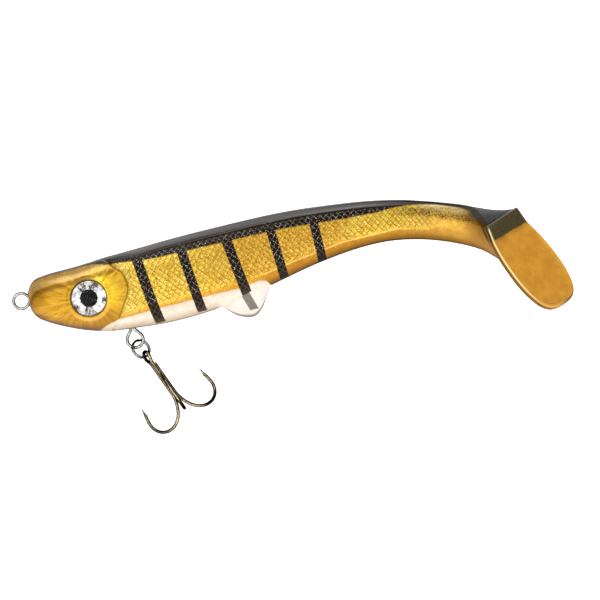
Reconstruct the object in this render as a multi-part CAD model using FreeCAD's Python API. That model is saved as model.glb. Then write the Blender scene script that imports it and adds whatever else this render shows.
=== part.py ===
"""Paddle-tail swimbait, 250 mm, in the row frame: millimetres, +X towards the tail, +Z to the back, -Y the fish's left side.

The origin is the centre of the line-tie eye at the nose. The soft body is one plastisol moulding; it is cut into segments at
its flex lines so that it can bend, each segment with a round knuckle in the next one's socket. A cast ballast inside the
head holds two bent wires: the line tie at the nose and the hanger at the belly, from which a split ring and a treble hook swing.
The moulding lies at rest with its tail bent down and to the fish's left.
"""

import math
import os

import FreeCAD
import Part

V = FreeCAD.Vector

# ---------------------------------------------------------------- driving dimensions
WIRE_R = 0.72  # harness wire, 1.44 mm
LOOP_IN_R = 2.86  # inner land of the line-tie eye
TIE_R = 3.52  # line-tie eye, wire centreline
HANG_R = 3.65  # belly hanger loop, wire centreline
HANG_X, HANG_Z = 46.0, -29.5  # hanger loop centre
BALLAST_C, BALLAST_S = (35.0, 0.0, -10.9), (18.5, 6.4, 7.6)  # cast weight: centre, semi-axes
EYE_X, EYE_Z = 31.3, -6.5  # eye centre
EYE_R, PUPIL_R = 7.8, 3.9
EYE_SEAT = 11.2  # |y| of the socket floor
FOIL_T, PUPIL_T, DOME_H = 0.3, 0.25, 2.1
RING_R, RING_WIRE = 4.2, 0.48  # split ring, mean radius and wire radius
RING_C = (47.54, -0.3, -34.22)
RING_AXIS = (0.578, -0.769, 0.273)
HOOK_WIRE = 0.78
HOOK_TOP = (48.58, 0.65, -35.5)  # outer top of the treble's eye
HOOK_DIR = (0.367, -0.300, -0.880)  # from the eye to the bends
EYE_HOLE_R = 1.6
SHANK_L = 23.7  # from the eye's top to where the bends leave
PAD_M = (217.8, -25.1, -16.6)  # middle of the paddle's top edge, on its rear face
PAD_W = (0.776, 0.600, 0.193)  # paddle width direction
PAD_L = (0.359, -0.169, -0.918)  # paddle long direction, downwards
PAD_T = 2.6  # paddle thickness
GAP = 0.3  # clearance of a knuckle in its socket

# flex lines: name: (position, axis, knuckle radius, range min, range max) with the ranges in degrees
FLEX = {
    "front": ((80.0, 0.0, -7.2), (0, 0, 1), 9.0, 10, 10),
    "mid": ((121.0, 0.0, -4.2), (0, 0, 1), 6.4, 14, 14),
    "rear": ((158.0, 0.0, -3.6), (0, 0, 1), 4.4, 15, 25),
    "wrist": ((201.4, -5.6, -14.4), (0.124, -0.135, 0.983), 2.3, 20, 40),
}

# sections of the soft body: ridge (x, y, z), keel (x, y, z), half width, sideways turn 0..1 towards the paddle's width direction
SECTIONS = [
    ((3.35, 0, 1.2), (3.35, 0, -3.0), 2.0, 0),
    ((4.2, 0, 3.6), (3.9, 0, -6.3), 4.6, 0),
    ((5.6, 0, 5.9), (5.2, 0, -8.7), 6.4, 0),
    ((8.0, 0, 7.9), (7.6, 0, -10.9), 8.3, 0),
    ((11.5, 0, 8.7), (11.5, 0, -13.4), 10.1, 0),
    ((16.0, 0, 9.1), (16.0, 0, -15.8), 11.4, 0),
    ((22.0, 0, 9.2), (22.0, 0, -18.6), 12.4, 0),
    ((30.0, 0, 9.4), (30.0, 0, -21.5), 13.0, 0),
    ((38.0, 0, 9.8), (38.0, 0, -23.4), 13.3, 0),
    ((48.0, 0, 10.0), (48.0, 0, -24.5), 13.4, 0),
    ((58.0, 0, 10.3), (58.0, 0, -25.5), 13.3, 0),
    ((70.0, 0, 10.7), (70.0, 0, -25.8), 12.9, 0),
    ((82.0, 0, 10.9), (82.0, 0, -25.3), 12.2, 0),
    ((95.0, 0, 10.9), (95.0, 0, -23.7), 11.2, 0),
    ((108.0, 0, 10.8), (108.0, 0, -21.4), 10.1, 0),
    ((120.0, 0, 10.5), (120.0, 0, -18.9), 9.1, 0),
    ((131.5, 0, 9.8), (131.0, 0, -16.7), 8.2, 0),
    ((142.5, 0, 8.7), (141.5, 0, -15.1), 7.3, 0),
    ((153.3, 0, 7.4), (152.0, 0, -14.0), 6.5, 0),
    ((164.0, 0, 5.8), (162.9, 0, -13.7), 5.7, 0),
    ((171.2, 0, 4.4), (169.5, 0, -14.1), 5.2, 0),
    ((178.3, 0, 2.8), (176.0, 0, -15.1), 4.7, 0.02),
    ((185.3, -0.4, 0.9), (182.5, -0.2, -16.6), 4.2, 0.10),
    ((192.3, -1.8, -1.3), (189.3, -0.9, -18.7), 3.8, 0.23),
    ((199.1, -4.6, -3.9), (196.5, -2.8, -21.6), 3.4, 0.40),
    ((205.9, -8.8, -6.8), (204.0, -6.4, -25.4), 3.1, 0.60),
    ((211.4, -14.8, -10.4), (210.6, -12.9, -30.4), 2.9, 0.80),
    ((214.9, -20.2, -13.5), (217.6, -20.9, -37.6), 2.6, 0.93),
    ((217.8, -24.4, -16.7), (227.3, -29.2, -42.3), 2.3, 1.0),
]
SQUARE = 2.35  # superellipse exponent of the sections

# paddle outline in (width, down) from the top edge's middle; the other side mirrors it
PADDLE = [(10.6, 0.0), (12.1, 6.4), (13.8, 14.5), (14.5, 23.0), (14.4, 31.0), (12.9, 38.7), (10.6, 43.6), (7.4, 46.2), (3.6, 47.1), (0.0, 47.3)]
TIP_AT = 31.5  # how far down the paddle its free tip folds

# belly pour: side view of the white layer
BELLY = [(31.4, -45), (31.9, -21.9), (34.0, -20.8), (37.0, -19.7), (40.6, -19.0), (108.4, -18.1), (112.3, -20.7), (112.3, -45)]
FIN = [(90.0, -25.6), (92.1, -28.7), (94.5, -30.6), (97.2, -31.8), (101.0, -32.3), (103.6, -31.4), (105.6, -29.6), (107.6, -26.8), (109.3, -23.4)]
FIN_A, FIN_B = (90.5, 0.0, -26.9), (109.0, 0.0, -23.5)  # fin hinge line
FIN_R = 2.3


def vec(p):
    return V(*[float(c) for c in p])


def unit(p):
    v = vec(p)
    v.normalize()
    return v


W, L = unit(PAD_W), unit(PAD_L)
L = (L - W * L.dot(W)).normalize()
N = L.cross(W)  # rear face normal
M = vec(PAD_M)


def section(ridge, keel, half, turn):
    r, k = vec(ridge), vec(keel)
    mid, up = (r + k) * 0.5, (r - k) * 0.5
    lat = V(0, 1, 0) * (1 - turn) + W * turn
    lat = (lat - up * (lat.dot(up) / up.dot(up))).normalize() * half
    pts = []
    n = 28
    for i in range(n):
        a = 2 * math.pi * (i + 0.5) / n
        c, s = math.cos(a), math.sin(a)
        pc = math.copysign(abs(c) ** (2 / SQUARE), c)
        ps = math.copysign(abs(s) ** (2 / SQUARE), s)
        pts.append(mid + lat * pc + up * ps)
    curve = Part.BSplineCurve()
    curve.interpolate(Points=pts, PeriodicFlag=True)
    return Part.Wire(curve.toShape())


def pipe(edges, start, direction, r):
    """Round wire of radius r along tangent edges."""
    path = Part.Wire(edges)
    circle = Part.Wire(Part.makeCircle(r, start, direction))
    solid = path.makePipeShell([circle], True, True)
    length = sum(e.Length for e in edges)
    print("pipe volume", round(solid.Volume, 2), "section times length", round(math.pi * r * r * length, 2), solid.isValid())
    return solid


class Path:
    """Lines and tangent arcs in one plane: position, heading and the side it turns to."""

    def __init__(self, at, heading, side):
        self.at, self.h, self.n = vec(at), unit(heading), unit(side)
        self.edges = []

    def line(self, length):
        end = self.at + self.h * length
        self.edges.append(Part.makeLine(self.at, end))
        self.at = end
        return self

    def arc(self, radius, degrees):
        """Turns towards the side by degrees, or away from it if radius is negative."""
        s = 1 if radius > 0 else -1
        r = abs(radius)
        n = self.n * s
        c = self.at + n * r

        def at(deg):
            a = math.radians(deg)
            return c - n * (r * math.cos(a)) + self.h * (r * math.sin(a))

        self.edges.append(Part.Arc(self.at, at(degrees / 2), at(degrees)).toShape())
        a = math.radians(degrees)
        end = at(degrees)
        h = self.h * math.cos(a) + n * math.sin(a)
        side = (n * math.cos(a) - self.h * math.sin(a)) * s
        self.at, self.h, self.n = end, h, side
        return self


def frame_of(pos, axis):
    """Placement with local Z on the axis and local X as near +X as it can be."""
    z = unit(axis)
    x = (V(1, 0, 0) - z * z.x).normalize()
    y = z.cross(x)
    m = FreeCAD.Matrix(x.x, y.x, z.x, pos[0], x.y, y.y, z.y, pos[1], x.z, y.z, z.z, pos[2], 0, 0, 0, 1)
    return FreeCAD.Placement(m)


def prism(points, z0, z1, placement=None):
    face = Part.Face(Part.makePolygon([V(x, y, z0) for x, y in points] + [V(points[0][0], points[0][1], z0)]))
    solid = face.extrude(V(0, 0, z1 - z0))
    if placement is not None:
        solid.Placement = placement
    return solid


def yprism(points, half):
    """Prism along Y from a side view of (x, z) points."""
    loop = [V(x, -half, z) for x, z in points]
    return Part.Face(Part.makePolygon([*loop, loop[0]])).extrude(V(0, 2 * half, 0))


def ahead_of(name, size=300.0):
    """The space in front of a flex line, with its socket and side notches taken out."""
    pos, axis, r, lo, hi = FLEX[name]
    where = frame_of(pos, axis)
    # the rear piece's +Y side swings forward by hi, its -Y side by lo
    a, b = math.radians(hi + 2), math.radians(lo + 2)
    pts = [(0, 0), (-size * math.sin(a), size * math.cos(a)), (-size, size * math.cos(a)), (-size, -size * math.cos(b)), (-size * math.sin(b), -size * math.cos(b))]
    block = prism(pts, -60, 60, where)
    socket = Part.makeCylinder(r + GAP, 120, V(0, 0, -60))
    socket.Placement = where
    return block.cut(socket)


def behind(name, size=300.0):
    """The space behind a flex line, with its knuckle added."""
    pos, axis, r, lo, hi = FLEX[name]
    where = frame_of(pos, axis)
    block = prism([(0, -size), (size, -size), (size, size), (0, size)], -60, 60, where)
    knuckle = Part.makeCylinder(r, 120, V(0, 0, -60))
    knuckle.Placement = where
    return block.fuse(knuckle)


def biggest(shape):
    solids = sorted(shape.Solids, key=lambda s: -s.Volume)
    return solids[0]


def save(name, shape):
    solids = [s for s in shape.Solids if s.Volume > 0.05]
    out = solids[0] if len(solids) == 1 else Part.makeCompound(solids)
    print(name, "solids", len(solids), "volume", round(sum(s.Volume for s in solids), 1), "valid", out.isValid())
    out.exportStep(f"parts/{name}.step")


def main():
    os.makedirs("parts", exist_ok=True)

    # ---------------- soft body
    full = Part.makeLoft([section(*s) for s in SECTIONS], True, False)
    print("body", full.ShapeType, full.isValid(), round(full.Volume))
    belly_space = yprism(BELLY, 30)

    # ---------------- wires
    tie = Path((0, 0, 0), (1, 0, 0), (0, 0, 1))
    turn = 50.0  # each leg of the line tie turns in by this much
    a = math.radians(90 - turn)
    start = V(TIE_R * math.cos(a), 0, TIE_R * math.sin(a))
    leg_dir = V(math.sin(a), 0, -math.cos(a))
    # upper leg, drawn from the loop inwards
    r_f = 1.6
    drop = start.z - 0.74 - r_f * (1 - math.cos(math.radians(turn)))
    up = Path(start, leg_dir, (math.cos(a), 0, math.sin(a)))
    up.line(drop / math.sin(math.radians(turn))).arc(r_f, turn).line(3.0).arc(-9.26, 24).line(15.0)
    lo_start = V(start.x, 0, -start.z)
    lo = Path(lo_start, V(leg_dir.x, 0, -leg_dir.z), (math.cos(a), 0, -math.sin(a)))
    lo.line(drop / math.sin(math.radians(turn))).arc(r_f, turn).line(3.0).arc(7.78, 24).line(15.0)
    loop = Part.Arc(start, V(-TIE_R, 0, 0), lo_start).toShape()
    line_tie = pipe([*reversed([e for e in up.edges]), loop, *lo.edges], up.at, up.h, WIRE_R)
    land = Part.makeCylinder(LOOP_IN_R, 6, V(0, -3, 0), V(0, 1, 0))
    line_tie = line_tie.cut(land)

    g = math.radians(40)
    h0 = V(HANG_X, 0, HANG_Z)
    hs = h0 + V(HANG_R * math.cos(g), 0, HANG_R * math.sin(g))
    rise = (HANG_R * math.cos(g) - 0.76 - 2.0 * (1 - math.cos(g))) / math.sin(g)
    hr = Path(hs, (-math.sin(g), 0, math.cos(g)), (math.cos(g), 0, math.sin(g)))
    hr.line(rise).arc(2.0, 40).line(7.5).arc(2.2, 70).line(1.6)
    ht = V(2 * HANG_X - hs.x, 0, hs.z)
    hl = Path(ht, (math.sin(g), 0, math.cos(g)), (-math.cos(g), 0, math.sin(g)))
    hl.line(rise).arc(2.0, 40).line(7.5).arc(2.2, 70).line(1.6)
    hloop = Part.Arc(hs, h0 - V(0, 0, HANG_R), ht).toShape()
    hanger = pipe([*reversed(hr.edges), hloop, *hl.edges], hr.at, hr.h, WIRE_R)

    # ---------------- ballast
    ball = Part.makeSphere(1.0)
    m = FreeCAD.Matrix()
    m.scale(V(*BALLAST_S))
    ball = ball.transformGeometry(m)
    ball.translate(vec(BALLAST_C))
    ballast = ball.cut(line_tie).cut(hanger)

    # ---------------- eyes
    sockets, eye_parts = [], {}
    for side, s in (("left", -1), ("right", 1)):
        y = V(0, s, 0)
        base = V(EYE_X, s * EYE_SEAT, EYE_Z)
        sockets.append(Part.makeCylinder(EYE_R + 0.1, 12, base, y))
        foil = Part.makeCylinder(EYE_R, FOIL_T, base, y)
        pupil = Part.makeCylinder(PUPIL_R, PUPIL_T, base + y * FOIL_T, y)
        flat = base + y * FOIL_T
        rs = (EYE_R**2 + DOME_H**2) / (2 * DOME_H)
        cap = Part.makeSphere(rs)
        cap.translate(flat + y * (DOME_H + 0.45 - rs))
        dome = Part.makeCylinder(EYE_R, 6, flat, y).common(cap).cut(pupil)
        eye_parts[f"eye_foil_{side}"] = foil
        eye_parts[f"eye_pupil_{side}"] = pupil
        eye_parts[f"eye_dome_{side}"] = dome

    # ---------------- body segments
    front = full.common(ahead_of("front"))
    inner = [ball, line_tie, hanger, *sockets]
    body_front = front.cut(belly_space)
    belly_front = front.common(belly_space)
    for tool in inner:
        body_front = body_front.cut(tool)
    belly_front = belly_front.cut(hanger)
    save("body_front", biggest(body_front))
    save("belly_front", biggest(belly_front))

    mid = full.common(behind("front")).common(ahead_of("mid"))
    fa, fb = vec(FIN_A), vec(FIN_B)
    fdir = (fb - fa).normalize()
    trough = Part.makeCylinder(FIN_R + GAP, (fb - fa).Length + 4, fa - fdir * 2, fdir)
    save("body_mid", biggest(mid.cut(belly_space).cut(trough)))
    save("belly_mid", biggest(mid.common(belly_space).cut(trough)))
    save("body_rear", biggest(full.common(behind("mid")).common(ahead_of("rear"))))
    save("tail_stem", biggest(full.common(behind("rear")).common(ahead_of("wrist"))))

    # ---------------- belly fin
    bar = Part.makeCylinder(FIN_R, (fb - fa).Length, fa, fdir)
    low = [(p[0], p[1]) for p in FIN]
    keel = yprism([(fa.x, fa.z), *[p for p in low[1:-1]], (fb.x, fb.z)], 2.3)
    fin = bar.fuse(keel)
    save("belly_fin", fin)

    # ---------------- paddle
    def pad_pt(w, d, n=0.0):
        return M + W * w + L * d + N * n

    outline = [*[pad_pt(-w, d) for w, d in PADDLE], *[pad_pt(w, d) for w, d in reversed(PADDLE[:-1])]]
    side_a = Part.BSplineCurve()
    side_a.interpolate(Points=outline)
    top = Part.makeLine(outline[-1], outline[0])
    face = Part.Face(Part.Wire([side_a.toShape(), top]))
    plate = face.extrude(N * -PAD_T)

    def slab(d0, d1):
        pts = [pad_pt(-40, d0, 20), pad_pt(40, d0, 20), pad_pt(40, d1, 20), pad_pt(-40, d1, 20)]
        return Part.Face(Part.makePolygon([*pts, pts[0]])).extrude(N * -45)

    upper = plate.common(slab(-5, TIP_AT - PAD_T / 2 - 0.15))
    hinge_at = pad_pt(0, TIP_AT, -PAD_T / 2)
    knuckle = Part.makeCylinder(PAD_T / 2, 40, hinge_at - W * 20, W).common(plate)
    tip = plate.common(slab(TIP_AT, 60)).fuse(knuckle).removeSplitter()
    save("paddle_tip", tip)
    print("paddle tip hinge", hinge_at, W)

    web = biggest(full.common(behind("wrist")))
    pts = [V(209.9, -13.0, -9.7), pad_pt(-10.3, 0.1, -0.4), pad_pt(10.3, 0.1, -0.4), pad_pt(0, 15, -0.4)]
    faces = []
    for i, j, k in ((0, 1, 2), (0, 3, 1), (0, 2, 3), (1, 3, 2)):
        faces.append(Part.Face(Part.makePolygon([pts[i], pts[j], pts[k], pts[i]])))
    gusset = Part.Solid(Part.Shell(faces))
    if gusset.Volume < 0:
        gusset.reverse()
    wrist = web.fuse(gusset).fuse(upper)
    below = slab(TIP_AT - PAD_T / 2 - 0.15, 80)
    wrist = wrist.cut(below)
    save("tail_wrist", biggest(wrist))

    # ---------------- hardware in the head
    save("line_tie", line_tie)
    save("hook_hanger", hanger)
    save("ballast_weight", biggest(ballast))
    for name, shape in eye_parts.items():
        save(name, shape)

    # ---------------- split ring: a wire wound twice, its two coils side by side
    rc, ra = vec(RING_C), unit(RING_AXIS)
    coils = []
    for k, start_deg in ((-1, 4), (1, 0)):
        t = Part.makeTorus(RING_R, RING_WIRE, V(0, 0, k * (RING_WIRE - 0.02)), V(0, 0, 1), -180, 180, 350)
        t.rotate(V(0, 0, 0), V(0, 0, 1), 80 if k < 0 else 96)
        coils.append(t)
    ring = coils[0].fuse(coils[1])
    ring.Placement = frame_of(rc, ra)
    save("split_ring", ring)

    # ---------------- treble hook: a double hook and a single hook brazed to it
    t = unit(HOOK_DIR)
    top_pt = vec(HOOK_TOP)
    p = V(-t.z, 0, t.x).normalize()  # towards the tail, square to the shank
    q = (V(0, 1, 0) - t * t.y).normalize()
    c = (p * 0.819 + q * 0.574).normalize()  # the single hook's side
    w = c.cross(t).normalize()
    off = (HOOK_WIRE + 0.015) / math.cos(math.radians(30))
    plane = top_pt + c * (-off * 0.5)  # the eye's plane lies off the bundle's middle
    r_eye = EYE_HOLE_R + HOOK_WIRE
    ec = plane + t * (r_eye + HOOK_WIRE)
    print("treble eye centre", ec, "ring wire side", c)
    az = {"single": c, "a": c * -0.5 + w * 0.866, "b": c * -0.5 - w * 0.866}

    def bend(at, direction):
        path = Path(at, t, direction)
        path.arc(15.0, 38).arc(8.7, 151).line(2.4)
        return path

    def point_of(path, direction):
        """The tapered point and its barb."""
        cone = Part.makeCone(HOOK_WIRE, 0.06, 5.4, path.at, path.h)
        inward = direction * -1
        inward = (inward - path.h * inward.dot(path.h)).normalize()
        b0 = path.at + path.h * 0.2 + inward * 0.35
        b1 = path.at + path.h * 2.6 + inward * 0.2
        b2 = path.at + path.h * 0.5 + inward * 1.05
        side = path.h.cross(inward) * 0.28
        tri = Part.Face(Part.makePolygon([b0 - side, b1 - side, b2 - side, b0 - side])).extrude(side * 2)
        return cone.fuse(tri)

    # double hook: one wire, point to point, over the eye
    half = off * math.sin(math.radians(60))  # shank wire's offset along w in the eye's plane
    conv = math.radians(28)
    tan_pt = {k: ec + w * (s * r_eye * math.cos(conv)) + t * (r_eye * math.sin(conv)) for k, s in (("a", 1), ("b", -1))}
    legs = {}
    for k, s in (("a", 1), ("b", -1)):
        heading = w * (-s * math.sin(conv)) + t * math.cos(conv)
        side = w * (s * math.cos(conv)) + t * math.sin(conv)
        fil = 5.0
        need = r_eye * math.cos(conv) - half - fil * (1 - math.cos(conv))
        leg = Path(tan_pt[k], heading, side)
        leg.line(need / math.sin(conv)).arc(fil, math.degrees(conv))
        gone = (leg.at - top_pt).dot(t)
        leg.line(SHANK_L - gone)
        b = bend(leg.at, az[k])
        legs[k] = (leg.edges + b.edges, b)
    eye_arc = Part.Arc(tan_pt["a"], ec - t * r_eye, tan_pt["b"]).toShape()
    ea, ba = legs["a"]
    eb, bb = legs["b"]
    double = pipe([*reversed(ea), eye_arc, *eb], ba.at, ba.h, HOOK_WIRE)
    double = double.fuse(point_of(ba, az["a"])).fuse(point_of(bb, az["b"]))
    # single hook
    s_at = top_pt + c * (off + 0.03) + t * 7.6
    sp = Path(s_at, t, c)
    sp.line(SHANK_L - 7.6)
    sb = bend(sp.at, c)
    single = pipe(sp.edges + sb.edges, s_at, t, HOOK_WIRE).fuse(point_of(sb, c))
    # braze: a thin fillet of solder between the shanks
    core = Part.makePolygon([top_pt + t * 9.0 + d * (off * 0.55) for d in (az["single"], az["a"], az["b"])] + [top_pt + t * 9.0 + az["single"] * (off * 0.55)])
    braze = Part.Face(core).extrude(t * 13.0)
    braze = braze.cut(double).cut(single)
    save("treble_double_hook", double)
    save("treble_single_hook", single)
    save("treble_braze", braze)


main()
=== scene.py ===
"""Paddle-tail swimbait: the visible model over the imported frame. Metres outside, millimetres inside the geometry code."""

import math

import bpy
import numpy as np
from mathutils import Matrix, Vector


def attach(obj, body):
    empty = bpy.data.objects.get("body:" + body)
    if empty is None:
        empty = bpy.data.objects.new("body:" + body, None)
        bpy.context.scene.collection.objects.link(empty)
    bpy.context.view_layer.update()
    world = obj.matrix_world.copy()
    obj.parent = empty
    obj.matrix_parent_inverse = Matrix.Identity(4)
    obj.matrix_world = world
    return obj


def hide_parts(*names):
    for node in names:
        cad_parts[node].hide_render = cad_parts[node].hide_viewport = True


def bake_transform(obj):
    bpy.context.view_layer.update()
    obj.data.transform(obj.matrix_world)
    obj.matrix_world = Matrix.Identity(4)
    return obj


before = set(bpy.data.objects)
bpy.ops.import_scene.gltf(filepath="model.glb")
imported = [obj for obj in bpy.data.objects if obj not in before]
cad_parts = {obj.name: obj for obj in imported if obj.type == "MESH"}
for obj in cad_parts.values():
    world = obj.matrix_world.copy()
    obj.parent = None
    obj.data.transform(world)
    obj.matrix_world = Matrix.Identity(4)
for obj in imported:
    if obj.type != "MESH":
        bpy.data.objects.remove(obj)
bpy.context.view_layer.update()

rng = np.random.default_rng(7)
MM = 0.001

# ------------------------------------------------------------------ body sections: the same table as the CAD body
# ridge (x, y, z), keel (x, y, z), half width, sideways turn towards the paddle's width direction
SECTIONS = [
    ((3.25, 0, -0.8), (3.25, 0, -0.8), 0.0, 0),
    ((3.45, 0, 1.5), (3.35, 0, -3.0), 2.3, 0),
    ((4.2, 0, 3.7), (3.9, 0, -6.1), 4.5, 0),
    ((5.6, 0, 5.9), (5.2, 0, -8.7), 6.4, 0),
    ((8.0, 0, 7.9), (7.6, 0, -10.9), 8.3, 0),
    ((11.5, 0, 8.7), (11.5, 0, -13.4), 10.1, 0),
    ((16.0, 0, 9.1), (16.0, 0, -15.8), 11.4, 0),
    ((22.0, 0, 9.2), (22.0, 0, -18.6), 12.4, 0),
    ((30.0, 0, 9.4), (30.0, 0, -21.5), 13.0, 0),
    ((38.0, 0, 9.8), (38.0, 0, -23.4), 13.3, 0),
    ((48.0, 0, 10.0), (48.0, 0, -24.5), 13.4, 0),
    ((58.0, 0, 10.3), (58.0, 0, -25.5), 13.3, 0),
    ((70.0, 0, 10.7), (70.0, 0, -25.8), 12.9, 0),
    ((82.0, 0, 10.9), (82.0, 0, -25.3), 12.2, 0),
    ((95.0, 0, 10.9), (95.0, 0, -23.7), 11.2, 0),
    ((108.0, 0, 10.8), (108.0, 0, -21.4), 10.1, 0),
    ((120.0, 0, 10.5), (120.0, 0, -18.9), 9.1, 0),
    ((131.5, 0, 9.8), (131.0, 0, -16.7), 8.2, 0),
    ((142.5, 0, 8.7), (141.5, 0, -15.1), 7.3, 0),
    ((153.3, 0, 7.4), (152.0, 0, -14.0), 6.5, 0),
    ((164.0, 0, 5.8), (162.9, 0, -13.7), 5.7, 0),
    ((171.2, 0, 4.4), (169.5, 0, -14.1), 5.2, 0),
    ((178.3, 0, 2.8), (176.0, 0, -15.1), 4.7, 0.02),
    ((185.3, -0.4, 0.9), (182.5, -0.2, -16.6), 4.2, 0.10),
    ((192.3, -1.8, -1.3), (189.3, -0.9, -18.7), 3.8, 0.23),
    ((199.1, -4.6, -3.9), (196.5, -2.8, -21.6), 3.4, 0.40),
    ((205.9, -8.8, -6.8), (204.0, -6.4, -25.4), 3.1, 0.60),
    ((211.4, -14.8, -10.4), (210.6, -12.9, -30.4), 2.9, 0.80),
    ((214.9, -20.2, -13.5), (217.6, -20.9, -37.6), 2.6, 0.93),
    ((217.8, -24.4, -16.7), (227.3, -29.2, -42.3), 2.3, 1.0),
]
SQUARE = 2.35
PAD_M = np.array((217.8, -25.1, -16.6))
PAD_W = np.array((0.776, 0.600, 0.193))
PAD_L = np.array((0.359, -0.169, -0.918))
PAD_T = 2.6
PAD_W /= np.linalg.norm(PAD_W)
PAD_L -= PAD_W * PAD_L.dot(PAD_W)
PAD_L /= np.linalg.norm(PAD_L)
PAD_N = np.cross(PAD_L, PAD_W)
PADDLE = [(10.6, 0.0), (12.1, 6.4), (13.8, 14.5), (14.5, 23.0), (14.4, 31.0), (12.9, 38.7), (10.6, 43.6), (7.4, 46.2), (3.6, 47.1), (0.0, 47.3)]
EYE = (31.3, -6.5)
LEAN = math.radians(1.2)  # the soft paddle lies this much off square to its stem
VIS_W = PAD_W * math.cos(LEAN) - PAD_L * math.sin(LEAN)
VIS_L = PAD_L * math.cos(LEAN) + PAD_W * math.sin(LEAN)


def spline(x, y, xi):
    """Natural cubic spline through (x, y), at xi; y may have columns."""
    x, y = np.asarray(x, float), np.asarray(y, float)
    n = len(x)
    h = np.diff(x)
    A = np.zeros((n, n))
    rhs = np.zeros((n, *y.shape[1:]))
    A[0, 0] = A[-1, -1] = 1
    for i in range(1, n - 1):
        A[i, i - 1], A[i, i], A[i, i + 1] = h[i - 1], 2 * (h[i - 1] + h[i]), h[i]
        rhs[i] = 6 * ((y[i + 1] - y[i]) / h[i] - (y[i] - y[i - 1]) / h[i - 1])
    m = np.linalg.solve(A, rhs)
    k = np.clip(np.searchsorted(x, xi) - 1, 0, n - 2)
    t, hk = xi - x[k], h[k]
    if y.ndim > 1:
        t, hk = t[:, None], hk[:, None]
    return y[k] + t * ((y[k + 1] - y[k]) / hk - hk * (2 * m[k] + m[k + 1]) / 6) + t**2 * m[k] / 2 + t**3 * (m[k + 1] - m[k]) / (6 * hk)


def smooth(a, b, x):
    t = np.clip((x - a) / (b - a), 0, 1)
    return t * t * (3 - 2 * t)


def value_noise(p, seed=0):
    """Smooth 3-D noise in about -1..1 at points p (n, 3)."""
    g = np.random.default_rng(seed).uniform(-1, 1, (32, 32, 32))
    i = np.floor(p).astype(int)
    f = p - i
    f = f * f * (3 - 2 * f)
    out = 0
    for dx in (0, 1):
        for dy in (0, 1):
            for dz in (0, 1):
                w = (f[:, 0] if dx else 1 - f[:, 0]) * (f[:, 1] if dy else 1 - f[:, 1]) * (f[:, 2] if dz else 1 - f[:, 2])
                out = out + w * g[(i[:, 0] + dx) % 32, (i[:, 1] + dy) % 32, (i[:, 2] + dz) % 32]
    return out


# ------------------------------------------------------------------ the skin as a grid of (station, round)
R = np.array([s[0] for s in SECTIONS], float)
K = np.array([s[1] for s in SECTIONS], float)
HALF = np.array([s[2] for s in SECTIONS], float)
TURN = np.array([s[3] for s in SECTIONS], float)
step = (np.linalg.norm(np.diff(R, axis=0), axis=1) + np.linalg.norm(np.diff(K, axis=0), axis=1)) / 2
step[:3] = (step[:3] * 2 + np.abs(np.diff(HALF))[:3]) / 3
Q = np.concatenate([[0], np.cumsum(step)])
Q_END = Q[-1]


def stations(q):
    q = np.asarray(q, float)
    r = spline(Q, R, q)
    k = spline(Q, K, q)
    return r, k, np.maximum(spline(Q, HALF, q), 0), np.clip(spline(Q, TURN, q), 0, 1)


# where x = const planes cut the straight body
probe_q = np.linspace(0, Q_END, 4000)
probe_r, probe_k, _, _ = stations(probe_q)
probe_mid = (probe_r + probe_k) / 2


def q_at_x(x):
    return float(np.interp(x, probe_mid[:, 0], probe_q))


# heights below the ridge, in mm, by x: lower edge of the smooth back strip, and of the black back
STRIP = ([0, 8, 20, 36, 42, 60, 82, 120, 150, 170, 185, 200], [0.9, 1.1, 1.3, 1.9, 2.9, 3.7, 4.0, 3.9, 3.3, 2.8, 2.4, 2.2])
BLACK = ([0, 8, 20, 36, 42, 50, 54, 59, 68, 79, 95, 116, 135, 153, 166.5, 175, 185, 195, 205, 212], [0.5, 0.6, 0.8, 1.7, 3.6, 4.5, 5.2, 6.1, 7.0, 7.4, 7.6, 7.7, 7.6, 7.1, 5.7, 3.6, 2.1, 1.3, 1.4, 1.8])
BARS = [  # x at top, x at bottom, top z, bottom z, width
    (56.2, 59.6, 6.5, -24.9, 4.8),
    (76.6, 79.2, 5.5, -24.6, 4.5),
    (97.2, 100.66, 5.5, -22.2, 4.8),
    (117.7, 118.8, 5.5, -18.9, 4.3),
    (137.5, 137.4, 5.0, -15.7, 4.2),
]
GILL = [(39.5, 9.6), (41.9, 7.9), (44.9, 4.9), (47.6, 2.0), (49.1, -1.6), (49.4, -5.2), (48.0, -9.4), (45.6, -13.0), (43.6, -16.2), (41.0, -19.3), (38.4, -21.7), (36.6, -23.4)]
BELLY_TOP = ([30.8, 32.5, 35, 38, 42, 60, 90, 100, 104, 107.5, 110.5, 112.4], [-23.5, -21.6, -20.6, -19.7, -18.9, -18.5, -18.4, -18.4, -17.6, -17.2, -18.0, -21.2])


def gill_distance(x, z):
    """Signed distance to the gill's edge, positive on the head's side."""
    g = np.array(GILL)
    zz = np.linspace(g[0, 1] + 3, g[-1, 1] - 3, 200)
    order = np.argsort(g[:, 1])
    xx = spline(g[order, 1], g[order, 0], zz)
    line = np.stack([xx, zz], 1)
    d = np.full(len(x), 1e9)
    for p in line:
        d = np.minimum(d, np.hypot(x - p[0], z - p[1]))
    edge = np.interp(z, zz[::-1], xx[::-1])
    return np.where(x < edge, d, -d)


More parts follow.
